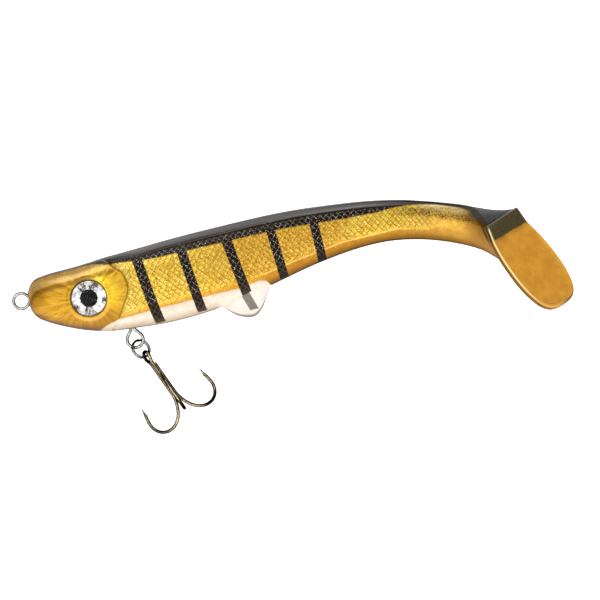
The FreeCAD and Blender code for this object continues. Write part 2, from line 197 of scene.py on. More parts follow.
def build_grid(q0, q1, nq, na):
    """Positions and the fields that shape and colour them, for stations q0..q1."""
    q = np.linspace(q0, q1, nq)
    r, k, half, turn = stations(q)
    mid, up = (r + k) / 2, (r - k) / 2
    height = np.linalg.norm(up, axis=1)
    lat = np.array([0, 1.0, 0]) * (1 - turn)[:, None] + PAD_W * turn[:, None]
    hh = np.maximum(height, 1e-6)[:, None]
    upn = up / hh
    upn[height < 1e-3] = (0, 0, 1)
    lat = lat - upn * (lat * upn).sum(1)[:, None]
    lat /= np.linalg.norm(lat, axis=1)[:, None]
    # round: t from +1 (ridge) to -1 (keel) down the left (-lat) side and back up the right
    a = np.linspace(0, 2 * np.pi, na, endpoint=False) + 1e-9
    side = np.where(a <= np.pi, -1.0, 1.0)
    c = np.abs(np.cos(a)) ** (2 / SQUARE) * np.sign(np.cos(a))
    s = np.abs(np.sin(a)) ** (2 / SQUARE)
    Qg, _ = np.meshgrid(q, a, indexing="ij")
    T = np.broadcast_to(c, Qg.shape)
    S = np.broadcast_to(s, Qg.shape)
    Hg, Wg = height[:, None], half[:, None]
    # flatter flanks from the squared round
    P = mid[:, None] + up[:, None] * T[..., None] + lat[:, None] * (Wg * S * side)[..., None]
    below = (1 - T) * Hg  # mm under the ridge
    x = P[..., 0]
    return dict(q=q, Q=Qg, T=T, S=S, side=side, P=P, below=below, above_keel=(1 + T) * Hg, H=Hg + 0 * T, W=Wg + 0 * T, mid=mid, upn=upn, lat=lat, x=x, z=P[..., 2])


def grid_normals(P):
    dq = np.gradient(P, axis=0)
    da = np.roll(P, -1, axis=1) - np.roll(P, 1, axis=1)
    n = np.cross(da, dq)
    ln = np.linalg.norm(n, axis=2)
    bad = ln < 1e-9
    n[bad] = (-1, 0, 0)
    return n / np.linalg.norm(n, axis=2)[..., None]


LONG_Q = np.linspace(0, Q_END, 1200)
LR, LK, _, _ = stations(LONG_Q)
LM = (LR + LK) / 2
ARC = np.concatenate([[0], np.cumsum(np.linalg.norm(np.diff(LM, axis=0), axis=1))])


def make_skin(name, q0, q1, dq=0.36, na=300):
    nq = int(round((q1 - q0) / dq)) + 1
    g = build_grid(q0, q1, nq, na)
    P = g["P"]
    N = grid_normals(P)
    # outward
    flip = ((P - g["mid"][:, None]) * N).sum(2).mean() < 0
    if flip:
        N = -N
    x, y, z = P[..., 0], P[..., 1], P[..., 2]
    below = g["below"]
    keel = g["above_keel"]
    # girth distance from the ridge
    seg = np.linalg.norm(np.roll(P, -1, 1) - P, axis=2)
    half_n = P.shape[1] // 2
    girth = np.zeros_like(x)
    girth[:, 1 : half_n + 1] = np.cumsum(seg[:, :half_n], axis=1)
    back_way = np.cumsum(seg[:, ::-1][:, : half_n - 1], axis=1)[:, ::-1]
    girth[:, half_n + 1 :] = back_way
    arc = np.interp(g["Q"], LONG_Q, ARC)
    xs = arc + 3.25  # x along the straightened body
    strip = np.interp(xs, *STRIP) - below
    black = np.interp(xs, *BLACK) - below
    bar = np.full(x.shape, -9.0)
    for x0, x1, z0, z1, w in BARS:
        xc = x0 + (x1 - x0) * (z0 - z) / (z0 - z1)
        d = np.minimum(w / 2 - np.abs(x - xc), np.minimum(z - z1, z0 + 3 - z))
        bar = np.maximum(bar, d)
    wavy = value_noise(np.stack([x, y, z], -1).reshape(-1, 3) / 9.0, 3).reshape(x.shape)
    top = np.interp(x, *BELLY_TOP)
    belly = np.minimum(top - z + 0.15 * wavy, np.minimum(x - 30.6 - 0.25 * (z + 23.5), 112.6 - x))
    gill = gill_distance(x.ravel(), z.ravel()).reshape(x.shape)
    lower = np.interp(xs, [0, 42, 60, 90, 112, 125, 150, 175, 190], [-30, -17.2, -16.6, -16.2, -14.9, -12.6, -9.4, -9.4, -13])
    lower = lower - (z - 0) * 1.0  # smooth lower strip below the scales
    flank = smooth(0, 1.2, -strip) * smooth(0.0, 1.6, -lower) * smooth(-0.4, 1.2, -gill) * (1 - smooth(188, 200, xs)) * smooth(0, 0.8, -belly)
    # ---- relief
    a, b = 2.75, 3.25
    p1 = xs / a + girth / b
    p2 = xs / a - girth / b
    f1, f2 = p1 - np.floor(p1), p2 - np.floor(p2)
    net = np.minimum(np.minimum(f1, 1 - f1), np.minimum(f2, 1 - f2))
    lines = np.exp(-((net / 0.13) ** 2))
    tilt = (f1 + f2) / 2
    cell = np.stack([np.floor(p1), np.floor(p2), g["side"][None] * 3 + 0 * p1], -1).reshape(-1, 3)
    jitter = value_noise(cell * 0.97 + 0.5, 11).reshape(x.shape)
    relief = flank * (0.16 * tilt**1.3 + 0.05 * jitter + 0.10 * lines)
    # back strip stands proud of the scales with a crisp lower edge
    relief += 0.32 * smooth(-0.5, 0.25, strip) * smooth(36, 44, xs) * (1 - smooth(178, 190, xs))
    # edge line at the top of the smooth lower strip, behind the fin
    relief += 0.12 * np.exp(-((lower / 0.45) ** 2)) * smooth(104, 110, xs) * (1 - smooth(178, 186, xs))
    # belly pour: a fine step where it meets the flank
    relief -= 0.16 * np.exp(-((belly / 0.35) ** 2)) * smooth(30, 33, x) * (1 - smooth(112, 113.5, x))
    # gill: the cover's edge stands over a groove
    on_side = smooth(0.12, 0.4, np.abs(y) / np.maximum(g["W"], 1)) + 0 * x
    cover = smooth(-0.1, 0.5, gill) * (1 - smooth(0.5, 9.0, gill))
    relief += on_side * (0.35 * cover - 0.45 * np.exp(-(((gill + 0.45) / 0.5) ** 2)))
    # head strokes raying from the eye, and ribs behind it
    ex, ez = x - EYE[0], z - EYE[1]
    er, ea = np.hypot(ex, ez), np.arctan2(ez, ex)
    on_head = smooth(0, 1.5, gill)
    ray = np.stack([np.cos(ea) * 6.5, np.sin(ea) * 6.5, er / 9.0], -1).reshape(-1, 3)
    rays = value_noise(ray + 40, 21).reshape(x.shape)
    behind_eye = smooth(0.2, 0.8, np.cos(ea))
    ribs = np.cos(ea * 26.0)
    relief += on_head * on_side * smooth(8.2, 10.5, er) * (0.14 * rays + 0.10 * behind_eye * ribs * (1 - smooth(14, 18, er))) * smooth(1.2, 4.5, below)
    # jaw line: a soft crease from under the nose
    jaw = z - np.interp(x, [3, 6, 12, 20, 27], [-6.0, -7.6, -10.5, -13.4, -15.2])
    relief -= 0.28 * np.exp(-((jaw / 0.5) ** 2)) * (1 - smooth(20, 27, x)) * on_side * smooth(3.5, 6, x)
    # eye socket: the soft skin rises round the moulded eye and dips over it
    relief += 0.55 * np.exp(-(((er - 9.0) / 0.9) ** 2)) * on_side
    P = P + N * relief[..., None]
    # flat seat inside the eye's rim
    inside = 1 - smooth(7.75, 8.25, er)
    seat = np.where(np.abs(y) > 4, 1, 0) * inside
    P[..., 1] = P[..., 1] * (1 - seat) + np.sign(P[..., 1]) * 11.1 * seat
    # ---- tail: flare the web into the paddle, and spread its top into the flat black gusset
    u = np.clip((g["Q"] - (Q_END - 25.5)) / 25.3, 0, 1)
    spread = u * np.exp(-((below / 1.6) ** 2)) * np.sign(g["side"])[None]
    reach = (10.6 - 2.3 * (1 - g["S"])) * spread * smooth(0.0, 0.3, g["S"])
    fillet = 1.6 * smooth(Q_END - 3.2, Q_END, g["Q"]) ** 2 * g["side"][None] * g["S"]
    P = P + g["lat"][:, None] * (reach + fillet)[..., None]
    flat = u**0.5 * np.exp(-((below / 1.6) ** 2)) * np.minimum(below, 1.2)
    rise = u**3 * np.exp(-((below / 3.0) ** 2)) * (0.75 + 0.37 * np.sign(g["side"])[None] * smooth(0.0, 0.3, g["S"]))
    P = P + g["lat"][:, None] * (u**3 * np.exp(-((below / 3.0) ** 2)) * (1.6 + 0.5 * np.sign(g["side"])[None] * smooth(0.0, 0.3, g["S"])))[..., None]
    P = P + g["upn"][:, None] * (flat + rise)[..., None]

    nq, na = x.shape
    verts = (P * MM).reshape(-1, 3)
    faces = []
    idx = np.arange(nq * na).reshape(nq, na)
    i0, i1 = idx[:-1], idx[1:]
    j0, j1 = i0, np.roll(i0, -1, 1)
    k0, k1 = i1, np.roll(i1, -1, 1)
    quads = np.stack([j0, j1, k1, k0], -1).reshape(-1, 4)
    if q0 <= 0:
        # the nose's first ring is one point: use triangles there
        tip = P[0].mean(0) * MM
        verts[idx[0]] = tip
    mesh = bpy.data.meshes.new(name)
    if not flip:
        quads = quads[:, ::-1]
    mesh.from_pydata(verts.tolist(), [], quads.tolist())
    mesh.update()
    mesh.polygons.foreach_set("use_smooth", np.ones(len(mesh.polygons), bool))
    fields = dict(strip=strip, black=black, bar=bar, belly=belly, gill=gill, lower=-lower, flank=flank, xs=xs, girth=girth, below=below, keel=keel, cell=jitter, net=net, tilt=tilt)
    for key, val in fields.items():
        at = mesh.attributes.new("f_" + key, "FLOAT", "POINT")
        at.data.foreach_set("value", np.ascontiguousarray(val, dtype=np.float32).ravel())
    at = mesh.attributes.new("rest", "FLOAT_VECTOR", "POINT")
    at.data.foreach_set("vector", np.ascontiguousarray(P, dtype=np.float32).ravel())
    obj = bpy.data.objects.new(name, mesh)
    bpy.context.scene.collection.objects.link(obj)
    if q0 <= 0:
        import bmesh

        bm = bmesh.new()
        bm.from_mesh(mesh)
        bmesh.ops.remove_doubles(bm, verts=bm.verts[:], dist=1e-7)
        bm.to_mesh(mesh)
        bm.free()
        mesh.polygons.foreach_set("use_smooth", np.ones(len(mesh.polygons), bool))
    return obj


# ------------------------------------------------------------------ shader helpers
class Nodes:
    def __init__(self, name):
        self.m = bpy.data.materials.new(name)
        self.m.use_nodes = True
        self.t = self.m.node_tree
        self.b = next(n for n in self.t.nodes if n.type == "BSDF_PRINCIPLED")

    def new(self, kind, **inputs):
        n = self.t.nodes.new(kind)
        for k, v in inputs.items():
            self.put(n.inputs[k.replace("_", " ")], v)
        return n

    def put(self, socket, v):
        if isinstance(v, bpy.types.NodeSocket):
            self.t.links.new(v, socket)
        else:
            socket.default_value = v

    def attr(self, name, vector=False):
        n = self.t.nodes.new("ShaderNodeAttribute")
        n.attribute_name = name
        return n.outputs["Vector"] if vector else n.outputs["Fac"]

    def math(self, op, a, b=0.0, c=0.0, clamp=False):
        n = self.t.nodes.new("ShaderNodeMath")
        n.operation = op
        n.use_clamp = clamp
        self.put(n.inputs[0], a)
        self.put(n.inputs[1], b)
        self.put(n.inputs[2], c)
        return n.outputs[0]

    def ramp(self, v, lo, hi, to_lo=0.0, to_hi=1.0):
        n = self.t.nodes.new("ShaderNodeMapRange")
        n.interpolation_type = "SMOOTHSTEP"
        for k, val in zip(("Value", "From Min", "From Max", "To Min", "To Max"), (v, lo, hi, to_lo, to_hi)):
            self.put(n.inputs[k], val)
        return n.outputs[0]

    def mix(self, fac, a, b, mode="MIX"):
        n = self.t.nodes.new("ShaderNodeMix")
        n.data_type = "RGBA"
        n.blend_type = mode
        self.put(n.inputs[0], fac)
        self.put(n.inputs[6], a)
        self.put(n.inputs[7], b)
        return n.outputs[2]

    def noise(self, vec, scale, detail=3.0, rough=0.55, distortion=0.0, out=0):
        n = self.t.nodes.new("ShaderNodeTexNoise")
        self.put(n.inputs["Vector"], vec)
        n.inputs["Scale"].default_value = scale
        n.inputs["Detail"].default_value = detail
        n.inputs["Roughness"].default_value = rough
        n.inputs["Distortion"].default_value = distortion
        return n.outputs[out]

    def voronoi(self, vec, scale, feature="F1", out="Distance", randomness=1.0):
        n = self.t.nodes.new("ShaderNodeTexVoronoi")
        n.feature = feature
        self.put(n.inputs["Vector"], vec)
        n.inputs["Scale"].default_value = scale
        n.inputs["Randomness"].default_value = randomness
        return n.outputs[out]

    def sep(self, v):
        n = self.t.nodes.new("ShaderNodeSeparateXYZ")
        self.put(n.inputs[0], v)
        return n.outputs

    def comb(self, x, y, z):
        n = self.t.nodes.new("ShaderNodeCombineXYZ")
        for i, v in enumerate((x, y, z)):
            self.put(n.inputs[i], v)
        return n.outputs[0]

    def bump(self, height, strength, distance, normal=None):
        n = self.t.nodes.new("ShaderNodeBump")
        self.put(n.inputs["Height"], height)
        n.inputs["Strength"].default_value = strength
        n.inputs["Distance"].default_value = distance
        if normal is not None:
            self.put(n.inputs["Normal"], normal)
        return n.outputs[0]

    def set(self, **k):
        for name, v in k.items():
            self.put(self.b.inputs[name.replace("_", " ")], v)
        return self.m


def srgb(r, g, b):
    def f(c):
        c /= 255
        return c / 12.92 if c <= 0.04045 else ((c + 0.055) / 1.055) ** 2.4

    return (f(r), f(g), f(b), 1.0)


def skin_material():
    n = Nodes("skin")
    rest = n.attr("rest", True)
    x, y, z = n.sep(rest)
    xs, girth, below = n.attr("f_xs"), n.attr("f_girth"), n.attr("f_below")
    keel = n.attr("f_keel")
    fine = n.noise(rest, 1.4, 4.0, 0.6)
    mid = n.noise(rest, 0.35, 3.0)
    speck = n.noise(rest, 2.6, 3.0, 0.7)
    # -- scaled gold flank
    a, b = 2.75, 3.25
    wob = n.math("MULTIPLY", n.math("SUBTRACT", mid, 0.5), 0.16)
    p1 = n.math("ADD", n.math("ADD", n.math("DIVIDE", xs, a), n.math("DIVIDE", girth, b)), wob)
    p2 = n.math("SUBTRACT", n.math("ADD", n.math("DIVIDE", xs, a), wob), n.math("DIVIDE", girth, b))
    f1, f2 = n.math("FRACT", p1), n.math("FRACT", p2)
    d1 = n.math("MINIMUM", f1, n.math("SUBTRACT", 1.0, f1))
    d2 = n.math("MINIMUM", f2, n.math("SUBTRACT", 1.0, f2))
    net = n.math("MINIMUM", d1, d2)
    flank = n.attr("f_flank")
    line = n.math("MULTIPLY", n.ramp(net, 0.02, 0.10, 1.0, 0.0), flank)
    cell_vec = n.comb(n.math("FLOOR", p1), n.math("FLOOR", p2), n.math("SIGN", y))
    white = n.t.nodes.new("ShaderNodeTexWhiteNoise")
    white.noise_dimensions = "3D"
    n.put(white.inputs["Vector"], cell_vec)
    cell = white.outputs["Value"]
    flake = n.voronoi(rest, 1.9, out="Color")
    flake_v = n.sep(flake)[0]
    front = n.math("MAXIMUM", n.ramp(xs, 106.0, 76.0), n.ramp(xs, 146.0, 160.0))
    gold = n.mix(n.ramp(fine, 0.34, 0.7), n.mix(front, srgb(178, 122, 26), srgb(196, 146, 34)), n.mix(front, srgb(208, 158, 46), srgb(224, 184, 60)))
    gold = n.mix(n.math("MULTIPLY", n.ramp(flake_v, 0.62, 0.95), 0.75), gold, n.mix(front, srgb(240, 200, 92), srgb(250, 230, 118)))
    gold = n.mix(n.math("MULTIPLY", n.ramp(flake_v, 0.22, 0.0), 0.55), gold, srgb(140, 84, 4))
    gold = n.mix(n.ramp(cell, 0.3, 1.0, 0.0, 0.35), gold, n.mix(front, srgb(232, 188, 74), srgb(250, 222, 92)))
    # painted highlight on the tilted rear part of each scale
    tilt = n.math("MULTIPLY", n.math("ADD", f1, f2), 0.5)
    gold = n.mix(n.math("MULTIPLY", n.ramp(tilt, 0.62, 0.9, 0.0, 0.5), flank), gold, srgb(250, 230, 128))
    tailnet = n.ramp(xs, 150.0, 172.0, 0.55, 0.85)
    gold = n.mix(n.math("MULTIPLY", line, tailnet), gold, srgb(126, 84, 10))
    # -- bare flecks just behind the gill
    patch = n.math("MULTIPLY", n.ramp(x, 49.0, 55.0, 1.0, 0.0), n.ramp(n.attr("f_gill"), -0.4, -1.6))
    gold = n.mix(n.math("MULTIPLY", n.math("MULTIPLY", patch, n.ramp(speck, 0.56, 0.66)), 0.8), gold, srgb(255, 240, 190))
    gold = n.mix(n.math("MULTIPLY", n.math("MULTIPLY", patch, n.ramp(speck, 0.44, 0.36)), 0.7), gold, srgb(96, 58, 4))
    # -- smooth lower band: orange-brown, darker under its ridge line
    lower = n.ramp(n.attr("f_lower"), -1.4, 0.6, 1.0, 0.0)
    amber = n.mix(n.ramp(mid, 0.3, 0.7), srgb(176, 122, 36), srgb(200, 146, 56))
    amber = n.mix(n.math("MULTIPLY", n.ramp(speck, 0.55, 0.7), 0.35), amber, srgb(240, 184, 70))
    gold = n.mix(n.math("MULTIPLY", lower, 0.75), gold, amber)
    behind_fin = n.ramp(xs, 106.0, 114.0)
    under = n.math("MULTIPLY", n.ramp(n.attr("f_lower"), -0.1, -0.8), behind_fin)
    gold = n.mix(n.math("MULTIPLY", under, 0.55), gold, srgb(158, 100, 12))
    # painted highlight along the raised ridge line at the top of the lower band
    ridge_highlight = n.math("MULTIPLY", n.ramp(n.math("ABSOLUTE", n.attr("f_lower")), 0.12, 0.42, 1.0, 0.0), n.math("MULTIPLY", behind_fin, n.ramp(xs, 176.0, 184.0, 1.0, 0.0)))
    gold = n.mix(n.math("MULTIPLY", ridge_highlight, 0.4), gold, srgb(240, 206, 130))
    # -- tail stem: smooth amber with painted shade towards the keel, a painted tan highlight and a dark fringe under the ridge
    stem = n.ramp(xs, 172.0, 190.0)
    sm = n.mix(n.ramp(mid, 0.3, 0.7), srgb(200, 150, 46), srgb(222, 176, 70))
    # painted shade towards the keel
    sm = n.mix(n.ramp(keel, 1.0, 9.0, 0.9, 0.0), sm, srgb(158, 106, 26))
    sm = n.mix(n.ramp(xs, 203.0, 216.0, 0.0, 0.7), sm, srgb(150, 98, 26))
    gold = n.mix(n.math("MULTIPLY", stem, n.ramp(xs, 186.0, 202.0, 0.45, 1.0)), gold, sm)
    wave = n.math("ADD", below, n.math("MULTIPLY", n.math("SUBTRACT", fine, 0.5), 2.4))
    fringe = n.math("MULTIPLY", n.ramp(wave, 8.2, 6.0), n.ramp(wave, 2.4, 4.2))
    fringe = n.math("MULTIPLY", fringe, n.ramp(xs, 166.0, 190.0))
    dots = n.ramp(n.noise(rest, 2.0, 2.0, 0.5), 0.40, 0.56, 1.0, 0.35)
    gold = n.mix(n.math("MULTIPLY", n.math("MULTIPLY", fringe, dots), 0.95), gold, srgb(48, 36, 12))
    # painted highlight: a tan band just under the ridge
    tan = n.math("MULTIPLY", n.math("MULTIPLY", n.ramp(wave, 4.6, 2.8), n.ramp(xs, 180.0, 192.0)), n.ramp(xs, 214.0, 208.0))
    gold = n.mix(n.math("MULTIPLY", tan, 0.9), gold, n.mix(n.ramp(fine, 0.35, 0.65), srgb(140, 122, 72), srgb(190, 172, 118)))
    # -- head paint
    head = n.ramp(n.attr("f_gill"), -0.1, 0.25)
    ex, ez = n.math("SUBTRACT", x, EYE[0]), n.math("SUBTRACT", z, EYE[1])
    er = n.math("SQRT", n.math("ADD", n.math("MULTIPLY", ex, ex), n.math("MULTIPLY", ez, ez)))
    ca, sa = n.math("DIVIDE", ex, er), n.math("DIVIDE", ez, er)
    ray = n.comb(n.math("MULTIPLY", ca, 9.0), n.math("MULTIPLY", sa, 9.0), n.math("MULTIPLY", er, 0.10))
    rays = n.noise(ray, 1.0, 4.0, 0.65)
    hg = n.mix(n.ramp(rays, 0.36, 0.64), srgb(168, 114, 14), srgb(206, 156, 34))
    hot = n.math("MULTIPLY", n.ramp(er, 9.0, 16.5, 1.0, 0.25), n.ramp(ca, -0.2, 0.85, 0.12, 1.0))
    hot = n.math("MULTIPLY", hot, n.ramp(sa, -0.75, -0.2))
    hg = n.mix(n.math("MULTIPLY", hot, n.ramp(rays, 0.3, 0.6, 0.55, 1.0)), hg, srgb(240, 202, 50))
    jaw = n.ramp(z, -21.0, -11.0, 1.0, 0.0)
    hg = n.mix(n.math("MULTIPLY", jaw, 0.75), hg, srgb(138, 92, 12))
    nose = n.ramp(x, 3.0, 13.0, 1.0, 0.0)
    hg = n.mix(n.math("MULTIPLY", nose, 0.55), hg, srgb(134, 92, 18))
    cream = n.math("MULTIPLY", n.ramp(below, 1.4, 2.8), n.ramp(below, 4.4, 6.2, 1.0, 0.0))
    cream = n.math("MULTIPLY", cream, n.ramp(x, 44.0, 36.0, 0.35, 1.0))
    olive = n.math("MULTIPLY", n.ramp(below, 5.0, 6.4), n.ramp(below, 7.2, 9.2, 1.0, 0.0))
    hg = n.mix(n.math("MULTIPLY", olive, 0.7), hg, srgb(104, 72, 14))
    hg = n.mix(n.math("MULTIPLY", cream, 0.78), hg, n.mix(n.ramp(fine, 0.3, 0.7), srgb(150, 122, 66), srgb(186, 158, 96)))
    brow = n.ramp(below, 0.7, 2.0, 1.0, 0.0)
    hg = n.mix(n.math("MULTIPLY", brow, 0.9), hg, srgb(58, 46, 26))
    # painted shadow inside the eye socket's rim, strongest along its top
    rim = n.math("MULTIPLY", n.ramp(er, 8.0, 8.9, 1.0, 0.0), n.ramp(sa, -0.8, 0.4, 0.35, 1.0))
    hg = n.mix(n.math("MULTIPLY", rim, 0.85), hg, srgb(70, 46, 12))
    glow = n.math("MULTIPLY", n.math("MULTIPLY", n.ramp(er, 8.4, 9.3), n.ramp(er, 9.6, 11.0, 1.0, 0.0)), n.ramp(sa, -0.1, -0.8))
    hg = n.mix(n.math("MULTIPLY", glow, 0.35), hg, srgb(250, 214, 110))
    # painted shade along the gill groove
    groove = n.ramp(n.math("ABSOLUTE", n.math("ADD", n.attr("f_gill"), 0.25)), 0.1, 0.55, 0.75, 0.0)
    colour = n.mix(head, gold, hg)
    colour = n.mix(n.math("MULTIPLY", groove, n.ramp(below, 1.5, 4.0)), colour, srgb(104, 62, 4))
    # -- keel: painted shade, darker along the bottom
    colour = n.mix(n.ramp(keel, 0.4, 4.2, 0.8, 0.0), colour, srgb(96, 64, 16))
    colour = n.mix(n.ramp(keel, 0.15, 1.0, 0.9, 0.0), colour, srgb(42, 28, 8))
    # -- white belly pour
    belly = n.ramp(n.attr("f_belly"), -0.12, 0.12)
    white_c = n.mix(n.ramp(mid, 0.3, 0.75), srgb(213, 199, 179), srgb(224, 214, 198))
    # painted shade along the keel, darker towards the bottom edge, left out where the fin covers it
    clear = n.math("MAXIMUM", n.ramp(x, 90.0, 84.0), n.ramp(x, 112.0, 114.0))
    white_c = n.mix(n.math("MULTIPLY", n.ramp(keel, 0.6, 4.0, 0.8, 0.0), clear), white_c, srgb(170, 146, 118))
    white_c = n.mix(n.math("MULTIPLY", n.ramp(keel, 0.15, 0.9, 0.9, 0.0), clear), white_c, srgb(92, 74, 52))
    colour = n.mix(belly, colour, white_c)
    seam = n.math("MULTIPLY", n.ramp(n.math("ABSOLUTE", n.attr("f_belly")), 0.05, 0.35, 0.6, 0.0), n.ramp(x, 28.0, 32.0))
    colour = n.mix(n.math("MULTIPLY", seam, n.ramp(x, 113.5, 112.0)), colour, srgb(196, 130, 60))
    # -- bars and black back
    edge = n.math("MULTIPLY", n.math("SUBTRACT", fine, 0.5), 0.7)
    bar = n.ramp(n.math("ADD", n.attr("f_bar"), edge), -0.1, 0.25)
    black = n.ramp(n.math("ADD", n.attr("f_black"), n.math("MULTIPLY", edge, 1.6)), -0.35, 0.45)
    black = n.math("MULTIPLY", black, n.ramp(xs, 38.0, 50.0, 0.96, 1.0))
    ink = n.math("MAXIMUM", bar, black)
    ink_c = n.mix(n.ramp(fine, 0.35, 0.7), srgb(11, 7, 5), srgb(26, 17, 12))
    inkline = n.math("MULTIPLY", n.ramp(net, 0.015, 0.075, 1.0, 0.0), n.math("MAXIMUM", flank, n.math("MULTIPLY", bar, n.ramp(keel, 1.5, 3.5))))
    ink_c = n.mix(n.math("MULTIPLY", inkline, n.ramp(speck, 0.42, 0.62, 0.05, 0.62)), ink_c, srgb(142, 130, 112))
    spark = n.math("MULTIPLY", n.math("MULTIPLY", n.ramp(speck, 0.58, 0.63), n.ramp(net, 0.15, 0.06)), flank)
    ink_c = n.mix(spark, ink_c, srgb(240, 236, 226))
    foot = n.math("MULTIPLY", n.ramp(keel, 3.6, 1.4), n.ramp(xs, 112.0, 108.0))
    ink_c = n.mix(n.math("MULTIPLY", foot, 0.5), ink_c, srgb(84, 62, 44))
    strip = n.ramp(n.attr("f_strip"), -0.3, 0.3)
    # painted highlight: a grey band along the smooth back strip
    strip_highlight = n.math("MULTIPLY", n.math("MULTIPLY", n.ramp(below, 0.5, 1.5), n.ramp(below, 3.4, 2.4)), strip)
    strip_highlight = n.math("MULTIPLY", strip_highlight, n.ramp(xs, 44.0, 60.0))
    ink_c = n.mix(n.math("MULTIPLY", strip_highlight, n.ramp(xs, 196.0, 160.0, 0.15, 0.8)), ink_c, srgb(96, 95, 95))
    colour = n.mix(ink, colour, ink_c)
    # -- gusset, with painted shadow in the hollow in front of the paddle and painted shade darkening towards it
    gus = n.math("MULTIPLY", n.ramp(xs, 209.0, 215.0), n.ramp(below, 5.2, 2.8))
    crease = n.math("ADD", n.math("MULTIPLY", n.ramp(below, 0.0, 9.0), 7.5), n.math("MULTIPLY", n.ramp(below, 8.0, 19.0), 4.0))
    past = n.math("SUBTRACT", xs, n.math("ADD", crease, 213.2))
    hollow = n.math("MULTIPLY", n.ramp(past, -1.6, 0.4), n.ramp(below, 21.0, 11.0))
    colour = n.mix(n.math("MULTIPLY", hollow, 0.92), colour, srgb(46, 38, 26))
    colour = n.mix(n.math("MULTIPLY", n.ramp(past, -9.0, -0.5), n.ramp(below, 19.0, 8.0, 0.0, 0.45)), colour, srgb(92, 66, 24))
    colour = n.mix(gus, colour, n.mix(n.ramp(fine, 0.3, 0.7), srgb(50, 48, 48), srgb(70, 68, 68)))
    inked = n.math("MAXIMUM", n.math("MAXIMUM", ink, belly), gus)
    metal = n.math("MULTIPLY", n.math("SUBTRACT", 1.0, inked), 0.45)
    rough_ink = n.math("MULTIPLY", n.math("SUBTRACT", 1.0, strip), n.math("MULTIPLY", ink, 0.22))
    rough = n.math("ADD", n.ramp(fine, 0.3, 0.7, 0.26, 0.42), n.math("ADD", n.math("MULTIPLY", belly, 0.08), rough_ink))
    # -- fine relief
    h = n.math("ADD", n.math("MULTIPLY", line, -0.7), n.math("MULTIPLY", n.math("MULTIPLY", fine, 0.5), flank))
    h = n.math("ADD", h, n.math("MULTIPLY", n.math("MULTIPLY", rays, head), 1.4))
    h = n.math("ADD", h, n.math("MULTIPLY", n.math("MULTIPLY", flake_v, flank), 0.5))
    nrm = n.bump(h, 0.7, 0.00022)
    n.set(Base_Color=colour, Metallic=metal, Roughness=rough, Normal=nrm)
    dull = n.math("MAXIMUM", gus, hollow)
    n.put(n.b.inputs["Specular IOR Level"], n.math("MULTIPLY", n.ramp(dull, 0.0, 1.0, 0.32, 0.02), n.math("MULTIPLY", n.ramp(below, 0.2, 1.6, 0.35, 1.0), n.ramp(keel, 0.2, 2.6, 0.1, 1.0))))
    n.b.inputs["Specular Tint"].default_value = (0.30, 0.20, 0.08, 1.0)
    coat = n.math("ADD", 0.08, n.math("MULTIPLY", n.math("MAXIMUM", head, n.math("MAXIMUM", strip, stem)), 0.20))
    n.set(Coat_Weight=n.math("MULTIPLY", coat, n.math("MULTIPLY", n.ramp(dull, 0.0, 0.6, 1.0, 0.0), n.math("MULTIPLY", n.ramp(below, 0.4, 1.8, 0.2, 1.0), n.ramp(keel, 0.4, 3.2, 0.0, 1.0)))))
    n.b.inputs["Coat Roughness"].default_value = 0.14
    return n.m


